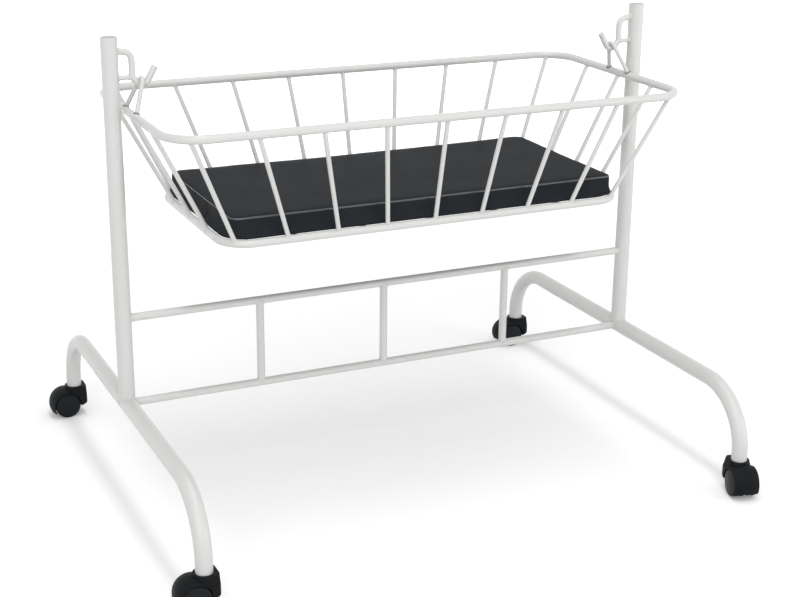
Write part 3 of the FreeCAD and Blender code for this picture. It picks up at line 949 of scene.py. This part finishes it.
# ---- Mattress ----
@dataclass
class Mattress:
    """Vinyl-covered foam mattress with a welt round its top and bottom edges."""

    CORNER_STEPS = 6
    WELT_SECTION = 8

    corner_r: float = 0.017
    slack: float = 0.0006
    side_slack: float = -0.0008
    voxel: float = 0.0044
    # Cloth
    pressure: float = 4.0
    stretch_stiffness: float = 20
    bending_stiffness: float = 2
    frames: int = 20
    swell_cap: float = 0.0014
    # Creases of the sides, hollows of the top
    side_from: float = 0.985
    crease_depth: float = 0.00208
    crease_scale: tuple[float, float, float] = (42.0, 42.0, 12.0)
    hollow_depth: float = 0.0006
    hollow_scale: float = 9.0
    hollow_seed: float = 3.1
    sag: float = 0.0026
    front_sag_share: float = 0.3
    room_below: float = 0.0002
    room_above: float = 0.0012
    # Spread of the foot
    end_spread: float = 0.0140
    side_spread: float = 0.0092
    spread_height: float = 0.016
    spread_power: float = 1.5
    spread_edge: float = 0.012
    spread_gain: float = 1.8
    corner_fade: float = 0.034
    corner_share: float = 0.3
    near_wires: float = 0.9
    touch: float = 0.0006
    # Welts
    welt_r: float = 0.0015
    welt_step: float = 0.006
    welt_inset: float = 0.0012
    under_welt: float = 0.0050
    end_welt: float = 0.4
    welt_lift: float = 1.3
    welt_waviness: float = 0.12
    welt_scale: float = 90

    def __post_init__(self) -> None:
        """Read the solid's box, and the wires that it lies among."""
        self.basket = Basket()
        self.low, self.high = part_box("mattress_cover")
        self.middle = (self.low + self.high) / 2
        self.half = (self.high - self.low) / 2

    def outline(self, inset: float, height: float) -> list[Vector]:
        """Rounded rectangle inside the solid's box.

        Args:
            inset: How far inside the box it runs.
            height: Its height.

        Returns:
            Points in order, anticlockwise from above.
        """
        radius = self.corner_r - inset
        reach_x = self.half.x - self.corner_r
        reach_y = self.half.y - self.corner_r
        points = []
        for sx, sy, first in ((1, 1, 0), (-1, 1, 90), (-1, -1, 180), (1, -1, 270)):
            for k in range(self.CORNER_STEPS + 1):
                angle = math.radians(first + 90 * k / self.CORNER_STEPS)
                points.append(Vector((self.middle.x + sx * reach_x + radius * math.cos(angle),
                                      self.middle.y + sy * reach_y + radius * math.sin(angle),
                                      height)))
        return points

    @staticmethod
    def refined(points: list[Vector], step: float) -> list[Vector]:
        """Closed line with its long runs divided.

        Args:
            points: Points of the line.
            step: Greatest distance between points.

        Returns:
            The divided line.
        """
        fine = []
        for point, after in zip(points, points[1:] + points[:1]):
            count = max(1, math.ceil((after - point).length / step))
            fine += [point.lerp(after, k / count) for k in range(count)]
        return fine

    def slab(self) -> Piece:
        """Slab of nearly the solid's size.

        Returns:
            The slab.
        """
        slack = self.slack
        build = bmesh.new()
        face = build.faces.new([build.verts.new(p) for p in self.outline(
            self.side_slack, self.low.z + slack)])
        raised = bmesh.ops.extrude_face_region(build, geom=[face])
        height = self.high.z - self.low.z - 2 * slack
        lifted = [v for v in raised["geom"] if isinstance(v, bmesh.types.BMVert)]
        bmesh.ops.translate(build, verts=lifted, vec=Z_AXIS * height)
        return finished("mattress_pad", build)

    @staticmethod
    def baked(obj: Piece) -> None:
        """Replace an object's mesh by what its modifiers give, and drop them.

        Args:
            obj: Object to bake.
        """
        view = bpy.context.evaluated_depsgraph_get()
        mesh = bpy.data.meshes.new_from_object(obj.evaluated_get(view))
        obj.modifiers.clear()
        obj.data = mesh
        mesh.polygons.foreach_set("use_smooth", [True] * len(mesh.polygons))

    def inflate(self, obj: Piece) -> None:
        """Swell the slab by a short cloth simulation, with each point's travel capped.

        Args:
            obj: The slab, remeshed.
        """
        start = [v.co.copy() for v in obj.data.vertices]
        cloth = obj.modifiers.new("cloth", "CLOTH")
        settings = cloth.settings
        settings.use_pressure = True
        settings.uniform_pressure_force = self.pressure
        settings.effector_weights.gravity = 0
        settings.tension_stiffness = self.stretch_stiffness
        settings.compression_stiffness = self.stretch_stiffness
        settings.bending_stiffness = self.bending_stiffness
        cloth.point_cache.frame_end = self.frames
        for number in range(1, self.frames + 1):
            bpy.context.scene.frame_set(number)
        self.baked(obj)
        for vertex, rest in zip(obj.data.vertices, start):
            travel = vertex.co - rest
            if travel.length > self.swell_cap:
                vertex.co = rest + travel.normalized() * self.swell_cap
        bpy.context.scene.frame_set(1)

    def foot_spread(self, offset: Vector) -> Vector:
        """How far the pad's foot swells outwards, towards the bottom ring.

        Args:
            offset: Point as measured from the middle of the box.

        Returns:
            The move.
        """
        half = self.half
        low = max(0.0, 1 - (offset.z + half.z) / self.spread_height) ** self.spread_power
        move = Vector((0.0, 0.0, 0.0))
        for axis, most in ((0, self.end_spread), (1, self.side_spread)):
            to_face = half[axis] - abs(offset[axis])
            to_corner = half[1 - axis] - abs(offset[1 - axis])
            edge = clamped(self.spread_gain * (1 - to_face / self.spread_edge))
            fade = self.corner_share + (1 - self.corner_share) * clamped(
                to_corner / self.corner_fade)
            move[axis] = math.copysign(most * edge * fade * low, offset[axis])
        return move

    def settle(self, obj: Piece) -> None:
        """Crease the sides, let the top sag and spread the foot against the wires round it.

        Args:
            obj: The swollen pad.
        """
        half = self.half
        for vertex in obj.data.vertices:
            offset = vertex.co - self.middle
            side_share = max(abs(offset.x) / half.x, abs(offset.y) / half.y)
            if side_share > self.side_from:
                ripple = noise.noise(vertex.co * Vector(self.crease_scale))
                outward = Vector((offset.x, offset.y, 0)).normalized()
                vertex.co -= outward * (self.crease_depth * max(0.0, ripple))
            vertex.co += self.foot_spread(offset)
            if offset.z > 0:
                slow = noise.noise(Vector((offset.x * self.hollow_scale,
                                           offset.y * self.hollow_scale, self.hollow_seed)))
                back = (1 + offset.y / half.y) / 2
                depth = self.front_sag_share + (1 - self.front_sag_share) * back
                sag = self.sag * depth * (1 - (offset.x / half.x) ** 2)
                vertex.co.z += self.hollow_depth * slow - sag
            vertex.co.z = clamped(vertex.co.z, self.low.z + self.room_below,
                                  self.high.z + self.room_above)
            if side_share > self.near_wires:
                vertex.co = self.basket.pushed_clear(vertex.co, self.touch)

    def welt(self, name: str, pad: Piece, height: float, finish: Finish) -> None:
        """Make a piped welt that lies on the pad's edge.

        Args:
            name: The piece's name.
            pad: The finished pad.
            height: Height of the edge that it follows.
            finish: Its finish.
        """
        tree = BVHTree.FromObject(pad, bpy.context.evaluated_depsgraph_get())
        line = []
        for point in self.refined(self.outline(self.welt_inset, height), self.welt_step):
            place = self.basket.pushed_clear(tree.find_nearest(point)[0],
                                             self.welt_r + self.touch)
            place.z = max(place.z, self.low.z + self.welt_lift * self.welt_r)
            line.append(place)
        rings = []
        for i, point in enumerate(line):
            along = tangent(line, i)
            beside = along.cross((point - self.middle).normalized()).normalized()
            sunk = self.end_welt + (1 - self.end_welt) * abs(along.x)
            wave = 1 + self.welt_waviness * noise.noise(point * self.welt_scale)
            rings.append(ring_round(point, beside.cross(along), beside,
                                    self.welt_r * sunk * wave, self.WELT_SECTION))
        obj = tubes(name, [rings])
        Wardrobe.dress(obj, finish)
        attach(obj, Body.MATTRESS.value)

    def build(self) -> None:
        """Make the pad and its welts, in place of the plain solids."""
        pad = self.slab()
        remesh = pad.modifiers.new("remesh", "REMESH")
        remesh.mode = "VOXEL"
        remesh.voxel_size = self.voxel
        self.baked(pad)
        self.inflate(pad)
        self.settle(pad)
        smooth = pad.modifiers.new("finer", "SUBSURF")
        smooth.levels = smooth.render_levels = 1
        self.baked(pad)
        Wardrobe.dress(pad, VINYL)
        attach(pad, Body.MATTRESS.value)
        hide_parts("mattress_cover", "mattress_core")
        top, bottom = self.high.z - self.welt_inset, self.low.z + self.under_welt
        self.welt("mattress_top_welt", pad, top, WELT_VINYL)
        self.welt("mattress_bottom_welt", pad, bottom, VINYL)
        LOG.info("mattress: %d points and two welts", len(pad.data.vertices))


# ---- Casters ----
@dataclass
class Caster:
    """Hooded twin-wheel caster, with the sizes of its wheels' section."""

    AROUND = 72
    SHOULDER_STEPS = 6
    CROWN_STEPS = 12
    SHARP_DEGREES = 42
    FINISHES = {"hood": HOOD_NYLON, "socket": HOOD_NYLON, "stem": ZINC, "axle": ZINC}

    place: str
    radius: float = 0.022
    width: float = 0.016
    inner_gap: float = 0.0062
    hub_r: float = 0.0070
    hub_edge: float = 0.0006
    hub_draft: float = 0.0004
    hub_fillet: float = 0.002
    bore_r: float = 0.00305
    rim_wall: float = 0.0035
    rim_draft: float = 0.0003
    rim_edge: float = 0.0008
    web: float = 0.0040
    fillet: float = 0.001
    tread_edge: tuple[float, float] = (0.0003, 0.0004)
    tread_start: float = 0.0013
    shoulder: float = 0.0026
    crown: float = 0.0020
    pole_r: float = 0.00002

    def __post_init__(self) -> None:
        """Find the caster's axle."""
        joint = next(j for j in frame["joints"] if j["name"] == f"wheel_spin_1_{self.place}")
        self.centre = Vector(joint["pos_m"])
        self.axis = Vector(joint["axis"]).normalized()

    def profile(self) -> list[tuple[float, float]]:
        """Closed section of a wheel as radius and distance from its inner face.

        Returns:
            Points of the section.
        """
        inner_r = self.radius - self.rim_wall
        floor = self.width - self.web
        face = self.width - self.crown
        edge = self.radius - self.shoulder
        points = [(self.bore_r, 0.0), (self.hub_r - self.hub_edge, 0.0),
                  (self.hub_r, self.hub_edge), (self.hub_r + self.hub_draft, floor - self.fillet),
                  (self.hub_r + self.hub_fillet, floor), (inner_r - self.fillet, floor),
                  (inner_r, floor - self.fillet), (inner_r + self.rim_draft, self.rim_edge),
                  (inner_r + self.fillet, 0.0), (self.radius - self.fillet, 0.0),
                  (self.radius - self.tread_edge[0], self.tread_edge[1]),
                  (self.radius, self.tread_start), (self.radius, face - self.shoulder)]
        for k in range(1, self.SHOULDER_STEPS + 1):
            turn = math.radians(90 * k / self.SHOULDER_STEPS)
            points.append((self.radius - self.shoulder * (1 - math.cos(turn)),
                           face - self.shoulder * (1 - math.sin(turn))))
        for k in range(1, self.CROWN_STEPS + 1):
            r = edge * (1 - k / self.CROWN_STEPS)
            points.append((max(r, self.pole_r), face + self.crown * (1 - (r / edge) ** 2)))
        return points

    def wheel(self, number: int) -> None:
        """Make a turned wheel with a domed face, in place of the plain solid.

        Args:
            number: 1 for the wheel against the axle's direction, 2 for the one along it.
        """
        out = self.axis if number == 2 else -self.axis
        across = Z_AXIS.cross(out).normalized()
        start = self.centre + out * self.inner_gap
        profile = self.profile()
        rings = [[start + radial * r + out * w for r, w in profile]
                 for radial in ring_round(Vector(), across, Z_AXIS, 1.0, self.AROUND)]
        obj = tubes(f"wheel_{number}_{self.place}_turned", [rings])
        obj.data.set_sharp_from_angle(angle=math.radians(self.SHARP_DEGREES))
        Wardrobe.dress(obj, WHEEL_NYLON)
        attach(obj, f"wheel_{number}_{self.place}")
        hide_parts(f"caster_wheel_{number}_{self.place}")

    def dress(self) -> None:
        """Finish the caster's nodes and make its wheels."""
        for piece, finish in self.FINISHES.items():
            Wardrobe.dress(frame["nodes"][f"caster_{piece}_{self.place}"], finish)
        for number in (1, 2):
            self.wheel(number)
        LOG.info("caster %s", self.place)


# ---- Studio ----
@dataclass(frozen=True)
class Camera:
    """Camera, with its place and lens."""

    place: tuple[float, float, float] = (-1.0115, -2.1949, 1.1107)
    yaw: float = -25.129
    pitch: float = -19.123
    roll: float = 0.562
    focal_px: float = 1546.6
    image_width_px: float = 800.0
    sensor_mm: float = 36.0
    clip_end: float = 60.0

    def build(self) -> None:
        """Make the camera and look through it."""
        yaw, pitch, roll = (math.radians(a) for a in (self.yaw, self.pitch, self.roll))
        ahead = Vector((-math.sin(yaw) * math.cos(pitch), math.cos(yaw) * math.cos(pitch),
                        math.sin(pitch)))
        right = Vector((math.cos(yaw), math.sin(yaw), 0.0))
        up = right.cross(ahead)
        right, up = (right * math.cos(roll) + up * math.sin(roll),
                     up * math.cos(roll) - right * math.sin(roll))
        data = bpy.data.cameras.new("camera")
        data.sensor_width = self.sensor_mm
        data.sensor_fit = "HORIZONTAL"
        data.lens = self.focal_px / self.image_width_px * self.sensor_mm
        data.clip_end = self.clip_end
        camera = bpy.data.objects.new("camera", data)
        turn = Matrix((right, up, -ahead)).transposed().to_4x4()
        camera.matrix_world = Matrix.Translation(self.place) @ turn
        bpy.context.scene.collection.objects.link(camera)
        bpy.context.scene.camera = camera


@dataclass(frozen=True)
class Lamp:
    """One soft area light, aimed at the bassinet."""

    name: str
    place: tuple[float, float, float]
    size: tuple[float, float]
    watts: float


class Studio:
    """Pale floor, white surroundings, soft lights and the camera."""

    LAMPS = (Lamp("key", (-2.6, -4.4, 2.9), (4.0, 4.0), 88.0),
             Lamp("fill", (2.8, -2.6, 0.9), (2.6, 2.0), 20.0),
             Lamp("top", (0.0, -0.9, 4.5), (0.8, 7.0), 72.0))
    TARGET = Vector((0.0, 0.0, 0.4))
    FLOOR_HALF = 14.0
    MOTTLE_SCALE = 3.0
    FLOOR_LIT = ((0.90, 0.90, 0.90, 1.0), (0.88, 0.88, 0.88, 1.0))
    FLOOR_SEEN = (WHITE, (0.98, 0.98, 0.98, 1.0))
    GLOW = 0.11
    GLOW_FROM, GLOW_TO = 1.0, 4.0
    WORLD_LIGHT = 0.62

    @staticmethod
    def seen(graph: NodeGraph) -> Socket:
        """Tell rays that show the surroundings from rays that only light the bassinet.

        Args:
            graph: Graph to add the nodes to.

        Returns:
            1 for rays from the camera, off gloss or through glass, and 0 for the others.
        """
        path = graph.add("LightPath").outputs
        reflected = graph.math("MAXIMUM", path["Is Glossy Ray"], path["Is Transmission Ray"])
        return graph.math("MAXIMUM", path["Is Camera Ray"], reflected)

    def floor_material(self) -> bpy.types.Material:
        """Pale floor that runs out to white where the camera sees it.

        Returns:
            The material.
        """
        material = bpy.data.materials.new("pale_floor")
        material.use_nodes = True
        tree = material.node_tree
        graph = NodeGraph(tree)
        tree.nodes.remove(tree.nodes["Principled BSDF"])
        mottle = graph.noise(graph.place(), self.MOTTLE_SCALE, detail=2.0)
        matt, bright = (graph.add("BsdfDiffuse", {"Color": graph.blend(mottle, *pair)}).outputs[0]
                        for pair in (self.FLOOR_LIT, self.FLOOR_SEEN))
        reach = graph.add("VectorMath", {0: graph.place()}, operation="LENGTH").outputs["Value"]
        level = graph.math("ADD", graph.ramp(reach, self.GLOW_FROM, self.GLOW_TO), self.GLOW)
        glow = graph.add("Emission", {"Color": WHITE, "Strength": level})
        both = graph.add("AddShader", {0: bright, 1: glow.outputs[0]})
        mix = graph.add("MixShader", {0: self.seen(graph), 1: matt, 2: both.outputs[0]})
        graph.feed(tree.nodes["Material Output"], {"Surface": mix.outputs[0]})
        return material

    def floor(self) -> None:
        """Lay the floor under the wheels."""
        mesh = bpy.data.meshes.new("floor")
        half = self.FLOOR_HALF
        corners = [(-half, -half, 0), (half, -half, 0), (half, half, 0), (-half, half, 0)]
        mesh.from_pydata(corners, [], [(0, 1, 2, 3)])
        obj = link_mesh("floor", mesh)
        obj.data.materials.append(self.floor_material())

    def world(self) -> None:
        """White surroundings: plain to the camera, softer as a light."""
        world = bpy.data.worlds.new("studio")
        world.use_nodes = True
        bpy.context.scene.world = world
        graph = NodeGraph(world.node_tree)
        shown = graph.math("MULTIPLY", self.seen(graph), 1 - self.WORLD_LIGHT)
        level = graph.math("ADD", shown, self.WORLD_LIGHT)
        graph.feed(world.node_tree.nodes["Background"], {"Strength": level, "Color": WHITE})

    def lamps(self) -> None:
        """Hang the lights."""
        for lamp in self.LAMPS:
            data = bpy.data.lights.new(lamp.name, "AREA")
            data.shape = "ELLIPSE"
            data.size, data.size_y = lamp.size
            data.energy = lamp.watts
            obj = bpy.data.objects.new(lamp.name, data)
            place = Vector(lamp.place)
            aim = (self.TARGET - place).to_track_quat("-Z", "Y").to_matrix().to_4x4()
            obj.matrix_world = Matrix.Translation(place) @ aim
            bpy.context.scene.collection.objects.link(obj)

    def build(self) -> None:
        """Make the whole studio."""
        self.floor()
        self.world()
        self.lamps()
        Camera().build()
        bpy.context.scene.view_settings.view_transform = "Standard"
        LOG.info("studio")


def main() -> None:
    """Build and dress every sub-assembly in order."""
    logging.basicConfig(level=logging.INFO, format="%(message)s")
    Stand().dress()
    Basket().dress()
    Mattress().build()
    for place in ("front_left", "front_right", "back_left", "back_right"):
        Caster(place).dress()
    Studio().build()


if __name__ == "__main__":
    main()
